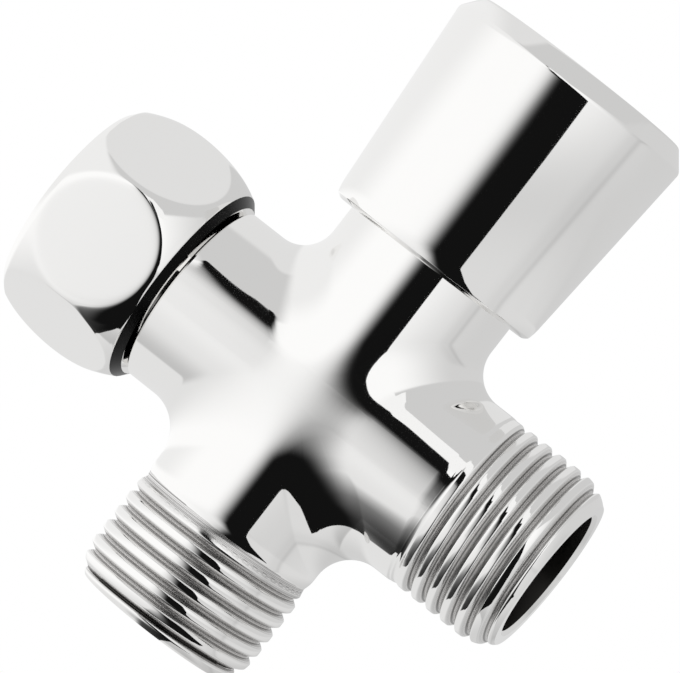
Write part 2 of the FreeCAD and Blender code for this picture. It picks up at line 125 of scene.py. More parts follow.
class BodySizes(PropertyGroup):
    """Sizes of the cast cross, measured from the crossing of its axes."""
    arm_radius: length("Arm radius", "Radius of the two arms on the knob's axis", 10.4 * MM)
    column_radius: length("Column radius", "Radius of the column on the inlet's axis", BODY_BOX[1].y)
    knob_crotch: length("Knob crotch", "Radius of the knob arm's blend into the column", 4.0 * MM)
    outlet_crotch: length("Outlet crotch", "Radius of the side outlet's blend into the column", 4.6 * MM)
    front_share: share("Front share", "Share of that radius left where both walls face the same way", 0.2)
    edge: length("Edge", "Bevel at the open ends of the necks", 0.4 * MM)
    knob_arm: length("Knob arm", "Reach of the arm that carries the knob", BODY_BOX[1].x)
    outlet_reach: length("Outlet reach", "Reach of both threaded outlets", -BODY_BOX[0].x)
    shoulder: length("Shoulder", "Height of the shoulder under the swivel nut", 18.7 * MM)
    nipple_radius: length("Nipple radius", "Radius of the neck inside the swivel nut", 8.3 * MM)
    nipple_top: length("Nipple top", "Height of the neck's end", BODY_BOX[1].z - CROSSING.z)
    groove_start: length("Groove start", "Height where the wire ring's groove begins", 22.2 * MM)
    groove_end: length("Groove end", "Height where the wire ring's groove ends", 23.6 * MM)
    groove_radius: length("Groove radius", "Radius of the wire ring's groove", 7.6 * MM)
    outlet_bore: length("Outlet bore", "Radius of the bore of both outlets", 7.5 * MM)
    bore_floor: length("Bore floor", "Distance of the outlet bores' floors", 14.25 * MM)
    mouth: length("Mouth", "Countersink at the mouth of both outlets", 0.4 * MM)
    rim_radius: length("Rim radius", "Outer radius of the flat rim of both outlets", 9.0 * MM)
    seat_bore: length("Seat bore", "Radius of the passage behind the rotor", 6.7 * MM)
    chamber_back: length("Chamber back", "Distance of the chamber's back wall", 9.5 * MM)
    chamber_radius: length("Chamber radius", "Radius of the rotor's chamber", 8.41 * MM)
    gland_start: length("Gland start", "Distance where the bonnet's thread begins", 10.2 * MM)
    gland_bore: length("Gland bore", "Radius of the bonnet's thread", 8.95 * MM)
    seal_start: length("Seal start", "Distance where the bonnet's seal seat begins", 17.0 * MM)
    seal_bore: length("Seal bore", "Radius of the bonnet's seal seat", 9.325 * MM)
    passage: length("Passage", "Radius of the flow passage in the column", 5.5 * MM)
    screen_seat: length("Screen seat", "Radius of the seat of the inlet screen", 6.25 * MM)
    screen_drop: length("Screen drop", "Depth of the seat of the inlet screen", 0.8 * MM)
    notch: length("Notch", "Width of the notch that keys the stop washer", 3.1 * MM)
    notch_start: length("Notch start", "Distance where that notch begins", 7.0 * MM)
    ridge: length("Ridge", "Height of the faint ridge that polishing left on the inlet neck", 0.07 * MM)
    ridge_place: share("Ridge place", "Place of that ridge across the neck's radius", 0.378)
    run_out: share("Run-out", "Depth over length of the outlets' narrowing before the thread", 0.19)
    run_out_end: length("Run-out end", "Distance where that ends and the thread begins", 17.0 * MM)
    side_run_out: length("Side run-out", "Length of that narrowing on the side outlet", 1.3 * MM)
    lower_run_out: length("Lower run-out", "Length of that narrowing on the lower outlet", 0.4 * MM)


class ThreadSizes(PropertyGroup):
    """Sizes of the half-inch pipe thread on both outlets and in the nut."""
    crest: length("Crest radius", "Radius over the crests", (OUTLET["dims"]["r_mm"] + 0.08) * MM)
    end: length("End", "Distance where the rounded end begins", 26.0 * MM)
    end_power: number("End power", "Power by which the end rounds off", 2.2)
    pitch: length("Pitch", "Distance between neighbouring turns", 1.91 * MM)
    depth: length("Depth", "Depth of the valleys", 0.78 * MM)
    crown: length("Crown", "Height by which the crests bulge", 0.05 * MM)
    lead_in: length("Lead-in", "Length over which the first valley deepens", 2.2 * MM)
    side_phase: share("Side phase", "Share of a pitch by which the side turns stand nearer", 0.919)
    lower_phase: share("Lower phase", "Share of a pitch by which the lower turns stand nearer", 0.744)
    crest_share: share("Crest share", "Share of a half turn where the flank leaves the crest", 0.66)
    root_share: share("Root share", "Share of a half turn where the flank meets the root", 0.03)
    roundness: number("Roundness", "Power by which the flanks steepen", 1.3)
    columns: IntProperty(name="Columns", description="Steps round half an arm", default=96, min=24, max=200)


class NutSizes(PropertyGroup):
    """Sizes of the barrel-shaped swivel nut, measured from the crossing."""
    start: length("Start", "Height of the nut's lower end", NUT_BOX[0].z - CROSSING.z)
    end: length("End", "Height of the nut's upper end", NUT_BOX[1].z - CROSSING.z)
    radius: length("Barrel radius", "Largest radius of the barrel", 13.85 * MM)
    belly: length("Belly", "Height of the barrel's widest place", 27.3 * MM)
    curve: length("Barrel curve", "Radius of the barrel's outline", 15.2 * MM)
    bevel: length("Bevel", "Height of the bevels at both ends", 0.8 * MM)
    lower_rim: length("Lower rim", "Outer radius of the lower end", 10.9 * MM)
    upper_rim: length("Upper rim", "Outer radius of the upper end", 11.4 * MM)
    flats: length("Across flats", "Distance between opposite flats", 24.2 * MM)
    turn: angle("Turn", "Turn of the front flat towards the side outlet", 6)
    soft_edge: length("Soft edge", "Width of the polished edge round each flat", 0.10 * MM)
    thread_root: length("Thread root", "Radius of the inner thread's root", INLET["dims"]["r_mm"] * MM)
    thread_depth: length("Thread depth", "Height of the inner thread", 0.7 * MM)
    mouth: length("Mouth", "Countersink at the nut's mouth", 0.6 * MM)
    relief: length("Relief radius", "Radius of the relief behind the thread", 10.9 * MM)
    relief_top: length("Relief top", "Height where the relief ends", 27.2 * MM)
    floor: length("Floor", "Height of the nut's inner floor", 24.4 * MM)
    wire_bore: length("Wire bore", "Radius of the recess round the wire ring", 9.45 * MM)
    lip_top: length("Lip top", "Height of the lip's upper face", 22.2 * MM)
    lip: length("Lip radius", "Radius of the lip's hole", 8.38 * MM)


class KnobSizes(PropertyGroup):
    """Sizes of the tapered knob, measured from the crossing."""
    start: length("Start", "Distance of the skirt's edge", KNOB_BOX[0].x)
    end: length("End", "Distance of the outer face", KNOB_BOX[1].x)
    small_radius: length("Small radius", "Radius at the skirt", 12.68 * MM)
    large_radius: length("Large radius", "Largest radius", KNOB_BOX[1].y)
    face_radius: length("Face radius", "Radius of the outer face", 12.75 * MM)
    bevel: length("Bevel", "Length of the outer bevel", 2.2 * MM)
    edge: length("Edge", "Bevel of the skirt", 0.4 * MM)
    foot: length("Foot", "Length over which the skirt draws in towards its edge", 1.9 * MM)
    foot_drop: length("Foot drop", "Depth by which the skirt draws in", 0.26 * MM)
    softness: length("Softness", "Radius of the polished edges", 0.3 * MM)
    cavity: length("Cavity", "Radius inside the skirt", 10.85 * MM)
    cavity_floor: length("Cavity floor", "Distance of the cavity's floor", 23.15 * MM)
    socket: length("Socket", "Radius of the socket for the shaft", 4.04 * MM)
    socket_flat: length("Socket flat", "Distance of the socket's flat from the axis", 3.04 * MM)
    socket_end: length("Socket end", "Distance of the socket's floor", 35.15 * MM)
    screw: length("Screw hole", "Radius of the set screw's hole", 2.05 * MM)
    screw_place: length("Screw place", "Distance of the set screw", 29.0 * MM)


class Finishes(PropertyGroup):
    """Colours and gloss of the valve's materials."""
    chrome: colour("Chrome", "Polished chrome plate", (0.955, 0.95, 0.94))
    chrome_gloss: share("Chrome roughness", "Roughness of the polished plate", 0.035)
    flank: colour("Flank", "Duller plate on the threads' flanks", (0.88, 0.87, 0.86))
    flank_gloss: share("Flank roughness", "Roughness added on the threads' flanks", 0.26)
    tool_lines: number("Tool lines", "Tool lines in each turn of a thread", 14)
    # Thin dull plate in the bores, darkened much further as painted shade in the recesses
    bore: colour("Bore", "Thin dull plate inside the bores", (0.10, 0.095, 0.09))
    # The nut's lower bevel is black as a painted dark reflection, not as the plate's own colour
    bevel: colour("Bevel", "Unpolished dark plate on the nut's lower bevel", (0.008, 0.008, 0.008))
    brass: colour("Brass", "Turned brass of the rotor and bonnet", (0.78, 0.62, 0.32))
    liner: colour("Liner", "Off-white plastic of the sleeve", (0.88, 0.87, 0.82))
    washer: colour("Washer", "White plastic of the thrust washer", (0.86, 0.86, 0.84))
    steel: colour("Steel", "Stainless steel of the stop, ring and screen", (0.62, 0.62, 0.63))
    screw: colour("Screw", "Dark hardened steel of the set screw", (0.30, 0.30, 0.31))
    rubber: colour("Rubber", "Black rubber of the washer and rings", (0.035, 0.035, 0.035))


class StageSettings(PropertyGroup):
    """Camera, floor and light tent."""
    camera: FloatVectorProperty(name="Camera", description="Place of the camera", size=3, precision=6,
                                default=(0.020282, -0.520967, -0.135466),
                                subtype="TRANSLATION", unit="LENGTH")
    heading: angle("Heading", "Turn of the view to the left of +Y", 1.5582)
    pitch: angle("Pitch", "Upward tilt of the view", 11.3307)
    roll: angle("Roll", "Turn of the camera about its view", -51.8637)
    lens: number("Lens", "Focal length in millimetres on a 36 mm frame", 269.094)
    floor: FloatProperty(name="Floor", description="Height of the floor", default=-0.15,
                         subtype="DISTANCE", unit="LENGTH")
    floor_size: length("Floor size", "Half the width of the floor", 2.5)
    tent: length("Tent", "Radius of the light tent", 4)
    skirt: length("Skirt", "Distance of the dark skirt round the lower outlet", 0.18)
    skirt_drop: length("Skirt drop", "Drop of that skirt below the crossing", 13 * MM)
    dark: share("Dark", "Lightness of the dark cards", 0.096)
    white: share("White", "Lightness of the white strip beside the skirt", 0.95)
    ambient: share("Ambient", "Even light on what isn't a mirror", 0.5)
    floor_colour: colour("Floor colour", "Plain pale floor", (0.93, 0.93, 0.93))


class DiverterSettings(PropertyGroup):
    """All settings of the valve."""
    body: PointerProperty(type=BodySizes, name="Body", description="Sizes of the cast body")
    thread: PointerProperty(type=ThreadSizes, name="Thread", description="Sizes of the pipe threads")
    nut: PointerProperty(type=NutSizes, name="Nut", description="Sizes of the swivel nut")
    knob: PointerProperty(type=KnobSizes, name="Knob", description="Sizes of the knob")
    finish: PointerProperty(type=Finishes, name="Finish", description="Colours of the materials")
    stage: PointerProperty(type=StageSettings, name="Stage", description="Camera, floor and tent")


# Grids of points

def smooth(low, high, value):
    """Smooth step: nought below low, one above high, and 3t^2 - 2t^3 between."""
    t = np.clip((value - low) / (high - low), 0, 1)
    return t * t * (3 - 2 * t)


def full_turn(steps):
    """Angles of a full turn, with its first angle again at the end."""
    return np.linspace(0, 2 * math.pi, steps + 1)


def about_x(along, radius, angles):
    """Points at a distance along X and a radius from it, turned from +Y towards +Z."""
    along, across, up = np.broadcast_arrays(along, radius * np.cos(angles), radius * np.sin(angles))
    return np.stack([along, across, up], axis=-1)


def about_z(along, radius, angles):
    """Points at a height along Z and a radius from it, turned from +X towards +Y."""
    along, across, deep = np.broadcast_arrays(along, radius * np.cos(angles), radius * np.sin(angles))
    return np.stack([across, deep, along], axis=-1)


def turned(profile, angles, about):
    """Surface that a profile of (distance, radius) rows sweeps about an axis."""
    profile = np.asarray(profile, float)
    return about(profile[:, :1], profile[:, 1:], angles)


def stepped(pieces, end):
    """Profile in steps: each (distance, radius) piece keeps its radius up to the next one's distance."""
    starts, radii = zip(*pieces)
    stops = (*starts[1:], end)
    walls = [((start, radius), (stop, radius)) for start, stop, radius in zip(starts, stops, radii)]
    return [corner for wall in walls for corner in wall]


def softened(profile, radius):
    """A profile whose inner corners become parabolas, which leave each side at most a radius before it."""
    side_share = 0.45
    profile = np.asarray(profile, float)
    before, corner, after = profile[:-2], profile[1:-1], profile[2:]
    reach_in = np.linalg.norm(before - corner, axis=1, keepdims=True)
    reach_out = np.linalg.norm(after - corner, axis=1, keepdims=True)
    cut = np.minimum(radius, side_share * np.minimum(reach_in, reach_out))
    leave = corner + (before - corner) * cut / reach_in
    meet = corner + (after - corner) * cut / reach_out
    t = np.linspace(0, 1, CORNER_ROWS)[None, :, None]
    arcs = (1 - t) ** 2 * leave[:, None] + 2 * t * (1 - t) * corner[:, None] + t ** 2 * meet[:, None]
    return np.concatenate([profile[:1], arcs.reshape(-1, 2), profile[-1:]])


def remove_slivers(mesh):
    """Merge equal points, dissolve faces without area and turn all faces outwards."""
    shell = bmesh.new()
    shell.from_mesh(mesh)
    bmesh.ops.remove_doubles(shell, verts=shell.verts, dist=MERGE)
    bmesh.ops.dissolve_degenerate(shell, edges=shell.edges, dist=MERGE)
    bmesh.ops.recalc_face_normals(shell, faces=shell.faces)
    shell.to_mesh(mesh)
    shell.free()


def grid_mesh(name, grids, centre):
    """One mesh from grids of points about a centre: four neighbours in a grid make a face."""
    points = []
    quads = []
    first = 0
    for grid in grids:
        rows, columns = grid.shape[:2]
        index = first + np.arange(rows * columns).reshape(rows, columns)
        corners = [index[:-1, :-1], index[1:, :-1], index[1:, 1:], index[:-1, 1:]]
        quads.append(np.stack(corners, axis=-1).reshape(-1, 4))
        points.append(grid.reshape(-1, 3))
        first += rows * columns
    places = np.concatenate(points) + np.array(centre)
    mesh = bpy.data.meshes.new(name)
    mesh.from_pydata(places.tolist(), [], np.concatenate(quads).tolist())
    return mesh


def joined_mesh(name, grids):
    """One mesh from grids of points about the crossing, with seams merged and faces turned outwards."""
    mesh = grid_mesh(name, grids, CROSSING)
    remove_slivers(mesh)
    return mesh


def add_object(name, mesh):
    """Put a mesh into the scene at the origin."""
    item = bpy.data.objects.new(name, mesh)
    bpy.context.scene.collection.objects.link(item)
    return item


def cut_away(item, tools):
    """Cut closed tool meshes out of an object and keep the result as its mesh."""
    cutters = [add_object(tool.name, tool) for tool in tools]
    for cutter in cutters:
        cut = item.modifiers.new(cutter.name, "BOOLEAN")
        cut.object = cutter
        cut.operation = "DIFFERENCE"
        cut.solver = "MANIFOLD"
    bpy.context.view_layer.update()
    evaluated = item.evaluated_get(bpy.context.evaluated_depsgraph_get())
    mesh = bpy.data.meshes.new_from_object(evaluated)
    mesh.materials.clear()
    remove_slivers(mesh)
    item.modifiers.clear()
    item.data = mesh
    for cutter in cutters:
        bpy.data.meshes.remove(cutter.data)


def store(mesh, label, values):
    """Keep one number for each point of a mesh as an attribute."""
    attribute = mesh.attributes.new(label, "FLOAT", "POINT")
    attribute.data.foreach_set("value", values.astype(np.float32))


def face_centres(item):
    """Middles of an object's faces, measured from the crossing, as three rows."""
    centres = np.empty(3 * len(item.data.polygons))
    item.data.polygons.foreach_get("center", centres)
    return (centres.reshape(-1, 3) - np.array(CROSSING)).T


def give_second_material(item, faces):
    """Give the second material to the faces that a mask names."""
    item.data.polygons.foreach_set("material_index", faces.astype(np.int32))


def polish(item):
    """Smooth shading, with steep edges kept sharp."""
    item.data.shade_smooth()
    item.data.set_sharp_from_angle(angle=SHARP_ANGLE)


def finish_piece(item, body, node, materials):
    """Dress a new piece, tie it to its moving body and let it stand for a CAD node."""
    for material in materials:
        item.data.materials.append(material)
    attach(item, body)
    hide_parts(node)


# Cast body

def crotch(body, side, turn):
    """Blend of one arm into the column, as a ball rolled along both.

    The ball's centre stands a = arm + ball radius from the arm's axis and b = column + ball radius from
    the column's axis, so at a turn t about the arm it is (sqrt(b^2 - a^2 cos^2 t), a cos t, a sin t). The
    surface is the ball's arc from its foot on the arm to its foot on the column.
    """
    ball = body.knob_crotch if side > 0 else body.outlet_crotch
    a = body.arm_radius + ball
    b = body.column_radius + ball
    reach = side * np.sqrt(b ** 2 - (a * np.cos(turn)) ** 2)
    centre = np.stack([reach, a * np.cos(turn), a * np.sin(turn)], axis=-1)
    to_arm = np.stack([0 * turn, -np.cos(turn), -np.sin(turn)], axis=-1)
    to_column = np.stack([-reach, -a * np.cos(turn), 0 * turn], axis=-1) / b
    spread = np.arccos(np.sum(to_arm * to_column, axis=-1))[:, None]
    t = np.linspace(0, 1, WALL_ROWS)[:, None, None]
    foot = (np.sin((1 - t) * spread) * to_arm + np.sin(t * spread) * to_column) / np.sin(spread)
    return centre + ball * foot


def neck_ridge(body, x, z):
    """Height of a faint ridge along the inlet neck: a bell across it, which swells towards the nut."""
    width = 0.08
    stop = 0.7 * MM
    low = body.column_radius
    high = body.shoulder - body.edge
    across = (x / body.column_radius - body.ridge_place) / width
    swell = smooth(low, high, z) * (1 - smooth(high - stop, high, z))
    return body.ridge * np.exp(-across ** 2) * swell


def narrowing(body, along, reach):
    """How much thinner an outlet gets towards its thread: a parabola over a reach before the thread."""
    return body.run_out * reach * np.clip(1 - (body.run_out_end - along) / reach, 0, 1) ** 2


def outside(body, points):
    """How far points lie outside the cross, as a smooth union of both arms.

    Distances d1 and d2 from the arms' walls join as k - hypot(max(k - d1, 0), max(k - d2, 0)), a crotch
    of radius k. The radius goes over from one side's to the other's across the column. It shrinks with the
    square of the cosine between both walls' normals, down to the front share.
    """
    x, y, z = np.moveaxis(points, -1, 0)
    from_arm = np.hypot(y, z)
    from_column = np.hypot(x, y)
    d1 = from_arm - body.arm_radius + narrowing(body, -x, body.side_run_out)
    d2 = from_column - body.column_radius + narrowing(body, -z, body.lower_run_out)
    d2 = d2 - neck_ridge(body, x, z)
    alike = (y * y / (from_arm * from_column)) ** 2
    side = smooth(-body.column_radius, body.column_radius, x)
    k = body.outlet_crotch + (body.knob_crotch - body.outlet_crotch) * side
    k = k * (1 - (1 - body.front_share) * alike)
    joined = np.hypot(np.maximum(k - d1, 0), np.maximum(k - d2, 0))
    return np.maximum(k, np.minimum(d1, d2)) - joined


def settled(body, points):
    """Points moved on to the smooth union by Newton steps along the field's gradient."""
    step = 0.01 * MM
    for _ in range(NEWTON_STEPS):
        gap = outside(body, points)
        rise = [outside(body, points + axis) - outside(body, points - axis) for axis in step * np.eye(3)]
        slope = np.stack(rise, axis=-1) / (2 * step)
        points = points - (gap / np.sum(slope ** 2, axis=-1))[..., None] * slope
    return points


def column_angles(body, turn):
    """Angles round the column and heights where its plain wall starts, matched to both blends' feet."""
    half = turn[: len(turn) // 2 + 1]
    balls = np.array([[body.knob_crotch], [body.outlet_crotch]])
    a = (body.arm_radius + balls) * np.cos(half)
    knob, outlet = np.arctan2(a, np.sqrt((body.column_radius + balls) ** 2 - a ** 2))
    knob_height, outlet_height = (body.arm_radius + balls) * np.abs(np.sin(half))
    outlet = -math.pi - outlet[::-1]
    back = np.linspace(knob[-1], outlet[0], GAP_COLUMNS)[1:-1]
    front = np.linspace(outlet[-1], knob[0] - 2 * math.pi, GAP_COLUMNS)[1:-1]
    angles = np.concatenate([knob, back, outlet, front, knob[:1] - 2 * math.pi])
    heights = np.concatenate([knob_height, 0 * back, outlet_height[::-1], 0 * front, knob_height[:1]])
    return angles, heights


def thread_crest(body, thread, along):
    """Radius over a thread's crests, which falls to the rim as a power of the distance into its end."""
    into = np.clip((along - thread.end) / (body.outlet_reach - thread.end), 0, 1)
    return thread.crest - (thread.crest - body.rim_radius) * into ** thread.end_power


def thread_turns(body, thread, angles, neck, phase):
    """Distance and radius of a right-hand thread's surface.

    Rows follow the helix: a row's distance grows by one pitch for each turn. Across a pitch the surface
    falls from a slightly crowned crest to a narrow root as a power of the distance from the crest. The
    valley deepens from nothing at the neck and fades out again at the rim. Rows gather at the root.
    """
    rim_fade = 0.8 * thread.pitch
    half = np.array([1.0, 0.83, 0.70, 0.64, 0.56, 0.46, 0.36, 0.26, 0.16, 0.08, 0.02])
    across = np.concatenate([half, -half[::-1][:-1]])
    spread = 0.5 - 0.5 * across
    turns = np.arange(-2, int((body.outlet_reach - body.run_out_end) / thread.pitch) + 3)
    rows = (turns[:, None] + spread[None, :-1]).reshape(-1, 1)
    lead = angles / (2 * math.pi) + phase
    along = np.clip(body.run_out_end + thread.pitch * (rows - lead), body.run_out_end, body.outlet_reach)
    part = np.mod((along - body.run_out_end) / thread.pitch + lead, 1)
    offset = np.abs(2 * part - 1)
    slope = np.clip((thread.crest_share - offset) / (thread.crest_share - thread.root_share), 0, 1)
    valley = thread.depth * slope ** thread.roundness + thread.crown * (1 - offset) ** 2
    fade = smooth(body.run_out_end, body.run_out_end + thread.lead_in, along)
    crest = neck + (thread_crest(body, thread, along) - neck) * fade
    return along, crest - valley * fade * smooth(0, rim_fade, body.outlet_reach - along)


def outer_shell(body, thread):
    """Closed outer skin of the cross: two arms, two blends, the column, both threads and the inlet neck."""
    turn = full_turn(2 * thread.columns)
    part = np.linspace(0, 1, WALL_ROWS)[:, None]
    grids = []
    for side in (1, -1):
        blend = crotch(body, side, turn)
        grids.append(settled(body, blend))
        end = body.knob_arm - body.edge if side > 0 else -body.run_out_end
        along = (1 - part) * blend[0, :, 0] + part * end
        radius = body.arm_radius - narrowing(body, -along, body.side_run_out)
        grids.append(settled(body, about_x(along, radius, turn)))
    grids.append(turned([
        (body.knob_arm - body.edge, body.arm_radius),
        (body.knob_arm, body.arm_radius - body.edge),
        (body.knob_arm, 0),
    ], turn, about_x))
    angles, heights = column_angles(body, turn)
    top = body.shoulder - body.edge
    for end in (top, -body.run_out_end):
        along = math.copysign(1, end) * (1 - part) * heights + part * end
        radius = body.column_radius - narrowing(body, -along, body.lower_run_out)
        grids.append(settled(body, about_z(along, radius, angles)))
    bevel = [(top, body.column_radius), (body.shoulder, body.column_radius - body.edge)]
    nipple = stepped([
        (body.shoulder, body.nipple_radius),
        (body.groove_start, body.groove_radius),
        (body.groove_end, body.nipple_radius),
    ], body.nipple_top) + [(body.nipple_top, 0)]
    grids.append(turned(bevel + nipple, angles, about_z))
    rim = [(-body.outlet_reach, body.rim_radius), (-body.outlet_reach, 0)]
    side_neck = body.arm_radius - body.run_out * body.side_run_out
    side = (about_x, turn, side_neck, thread.side_phase)
    lower_neck = body.column_radius - body.run_out * body.lower_run_out
    lower = (about_z, angles, lower_neck, thread.lower_phase)
    for about, round_angles, neck, phase in (side, lower):
        along, radius = thread_turns(body, thread, round_angles, neck, phase)
        grids.append(about(-along, radius, round_angles))
        grids.append(turned(rim, round_angles, about))
    return joined_mesh("body_shell", grids)


def body_bores(body):
    """Closed tools for the cross bore, the column bore and the notch that keys the stop washer."""
    turn = full_turn(BORE_COLUMNS)
    out = body.mouth
    mouth = [
        (-body.outlet_reach - out, 0),
        (-body.outlet_reach - out, body.outlet_bore + 2 * out),
        (-body.outlet_reach + out, body.outlet_bore),
        (-body.bore_floor, body.outlet_bore),
    ]
    cross = mouth + stepped([
        (-body.bore_floor, body.seat_bore),
        (-body.chamber_back, body.chamber_radius),
        (body.gland_start, body.gland_bore),
        (body.seal_start, body.seal_bore),
    ], body.knob_arm + out) + [(body.knob_arm + out, 0)]
    column = mouth + stepped([
        (-body.bore_floor, body.passage),
        (body.nipple_top - body.screen_drop, body.screen_seat),
    ], body.nipple_top + out) + [(body.nipple_top + out, 0)]
    square = np.radians([45, 135, 225, 315, 405])
    half = body.notch / math.sqrt(2)
    middle = 0.5 * body.notch - body.gland_bore
    block = turned([
        (body.notch_start, 0),
        (body.notch_start, half),
        (body.gland_start + out, half),
        (body.gland_start + out, 0),
    ], square, about_x) + np.array([0, middle, 0])
    return [
        joined_mesh("cross_bore", [turned(cross, turn, about_x)]),
        joined_mesh("column_bore", [turned(column, turn, about_z)]),
        joined_mesh("stop_notch", [block]),
    ]


def mark_shaded_bores(item, body):
    """Give faces inside the bores, told by their distance from both axes, the second material: painted shade."""
    x, y, z = face_centres(item)
    inside = body.outlet_reach - 2 * body.mouth
    in_cross = (np.hypot(y, z) < body.seal_bore + MERGE) & (x > -inside) & (x < body.knob_arm - MERGE)
    in_column = (np.hypot(x, y) < body.outlet_bore + MERGE) & (z > -inside)
    in_column = in_column & (z < body.nipple_top - MERGE)
    give_second_material(item, in_cross | in_column)


def mark_threads(item, body, thread):
    """Store how deep each point lies in a thread and its place across a turn, from nought to one."""
    start, full = 0.12, 0.4
    count = len(item.data.vertices)
    places = np.empty(3 * count)
    item.data.vertices.foreach_get("co", places)
    x, y, z = (places.reshape(-1, 3) - np.array(CROSSING)).T
    cut = np.zeros(count)
    lay = np.zeros(count)
    side = (-x, np.hypot(y, z), np.arctan2(z, y), thread.side_phase)
    lower = (-z, np.hypot(x, y), np.arctan2(y, x), thread.lower_phase)
    for along, radius, turn, phase in (side, lower):
        on_thread = (along > body.run_out_end) & (radius > body.rim_radius)
        depth = (thread_crest(body, thread, along) - radius) / thread.depth
        cut = np.where(on_thread, smooth(start, full, depth), cut)
        part = np.mod((along - body.run_out_end) / thread.pitch + turn / (2 * math.pi) + phase, 1)
        lay = np.where(on_thread, part, lay)
    store(item.data, "cut", cut)
    store(item.data, "lay", lay)


# Swivel nut

def nut_sectors(nut, radius):
    """Angles round the nut, gathered at the edges of its six flats.

    A flat at distance f meets a barrel of radius r at acos(f / r) from the flat's middle. Each half sector
    has steps across the flat up to that edge and steps from the edge to the corner, closer near the edge.
    """
    flat = 0.5 * nut.flats
    edge = np.arccos(np.clip(flat / np.maximum(radius, flat), -1, 1))
    corner = math.pi / 6
    inner = np.array([0, 0.2, 0.4, 0.58, 0.72, 0.82, 0.89, 0.94, 0.975])
    outer = np.array([0, 0.03, 0.07, 0.13, 0.22, 0.35, 0.55, 0.78, 1])
    half = np.concatenate([inner * edge, edge + outer * (corner - edge)], axis=1)
    sector = np.concatenate([-half[:, :0:-1], half], axis=1)
    middles = np.radians(np.arange(0, 360, 60))
    angles = (middles[None, :, None] + sector[:, None, :]).reshape(len(radius), -1)
    return np.concatenate([angles, angles[:, :1] + 2 * math.pi], axis=1)


def eased_minimum(first, second, width):
    """The smaller of two values, with the crossing rounded: -w log(exp(-a/w) + exp(-b/w))."""
    low = np.minimum(first, second)
    return low - width * np.log1p(np.exp(-np.abs(first - second) / width))


def nut_outline(nut):
    """Outer profile of the nut: a bevel, a barrel that is an arc, and a second bevel."""
    low = nut.start + nut.bevel
    high = nut.end - nut.bevel
    lean = np.arcsin((np.array([low, high]) - nut.belly) / nut.curve)
    t = np.linspace(*lean, BARREL_ROWS)
    barrel = nut.curve * np.stack([np.sin(t), np.cos(t) - 1], axis=1) + [nut.belly, nut.radius]
    t = np.linspace(0, 1, BEVEL_ROWS)[:, None]
    lower = (1 - t) * [[nut.start, nut.lower_rim]] + t * barrel[:1]
    upper = (1 - t) * barrel[-1:] + t * [[nut.end, nut.upper_rim]]
    return np.concatenate([lower, barrel[1:-1], upper])


def nut_shell(nut, thread):
    """Closed skin of the nut: a barrel cut by six flats, with a threaded mouth, a relief and a lip inside.

    The outer radius is the eased minimum of the barrel's radius and the flat's f / cos(angle). The inner
    thread stands in from its root by a rounded ridge that climbs one pitch each turn.
    """
    run_in = 0.10
    ridge_foot, ridge_top = 0.25, 0.85
    outline = nut_outline(nut)
    height, barrel = outline[:, :1], outline[:, 1:]
    angles = nut_sectors(nut, barrel)
    off_flat = np.mod(angles + math.pi / 6, math.pi / 3) - math.pi / 6
    outer = eased_minimum(barrel, 0.5 * nut.flats / np.cos(off_flat), nut.soft_edge)
    turn = -0.5 * math.pi - nut.turn
    last = angles[-1:] + turn
    inner_top = nut.end - nut.mouth
    rows = np.linspace(0, 1, NUT_THREAD_ROWS)[:, None]
    along = inner_top + rows * (nut.relief_top - inner_top)
    wave = 0.5 + 0.5 * np.cos(2 * math.pi * along / thread.pitch - last)
    fade = smooth(0, run_in, rows) * smooth(0, run_in, 1 - rows)
    ridge = nut.thread_root - nut.thread_depth * fade * smooth(ridge_foot, ridge_top, wave)
    mouth = [(nut.end, nut.thread_root + nut.mouth), (inner_top, nut.thread_root)]
    throat = [(nut.relief_top, nut.thread_root)] + stepped([
        (nut.relief_top, nut.relief),
        (nut.floor, nut.wire_bore),
        (nut.lip_top, nut.lip),
    ], nut.start)
    first = angles[:1] + turn
    top_face = np.concatenate([about_z(nut.end, outer[-1:], last), about_z(nut.end, mouth[0][1], last)])
    foot = np.concatenate([about_z(nut.start, nut.lip, last), about_z(nut.start, outer[:1], first)])
    return joined_mesh("nut_shell", [
        about_z(height, outer, angles + turn),
        top_face,
        turned(mouth, last[0], about_z),
        about_z(along, ridge, last),
        turned(throat, last[0], about_z),
        foot,
    ])


def mark_dark_reflection_bevel(item, nut):
    """Give the second material, a painted dark reflection, to the bevel faces at the nut's lower end."""
    x, y, z = face_centres(item)
    on_bevel = (z > nut.start + MERGE) & (z < nut.start + nut.bevel)
    give_second_material(item, on_bevel & (np.hypot(x, y) > nut.lower_rim - nut.bevel))


# Knob

def knob_shell(knob):
    """Closed turned skin of the knob: a cone whose skirt draws in as a parabola, with eased corners."""
    turn = full_turn(KNOB_COLUMNS)
    skirt = knob.start + np.linspace(knob.edge, knob.foot, FOOT_ROWS)
    taper = (knob.large_radius - knob.small_radius) / (knob.end - knob.bevel - knob.start)
    drawn = knob.foot_drop * (1 - (skirt - knob.start) / knob.foot) ** 2
    wall = knob.small_radius + taper * (skirt - knob.start) - drawn
    outside = softened([
        (knob.cavity_floor, 0),
        (knob.cavity_floor, knob.cavity),
        (knob.start, knob.cavity),
        (knob.start, knob.small_radius - knob.foot_drop - knob.edge),
        *zip(skirt, wall),
        (knob.end - knob.bevel, knob.large_radius),
        (knob.end, knob.face_radius),
        (knob.end, 0),
    ], knob.softness)
    return joined_mesh("knob_shell", [turned(outside, turn, about_x)])


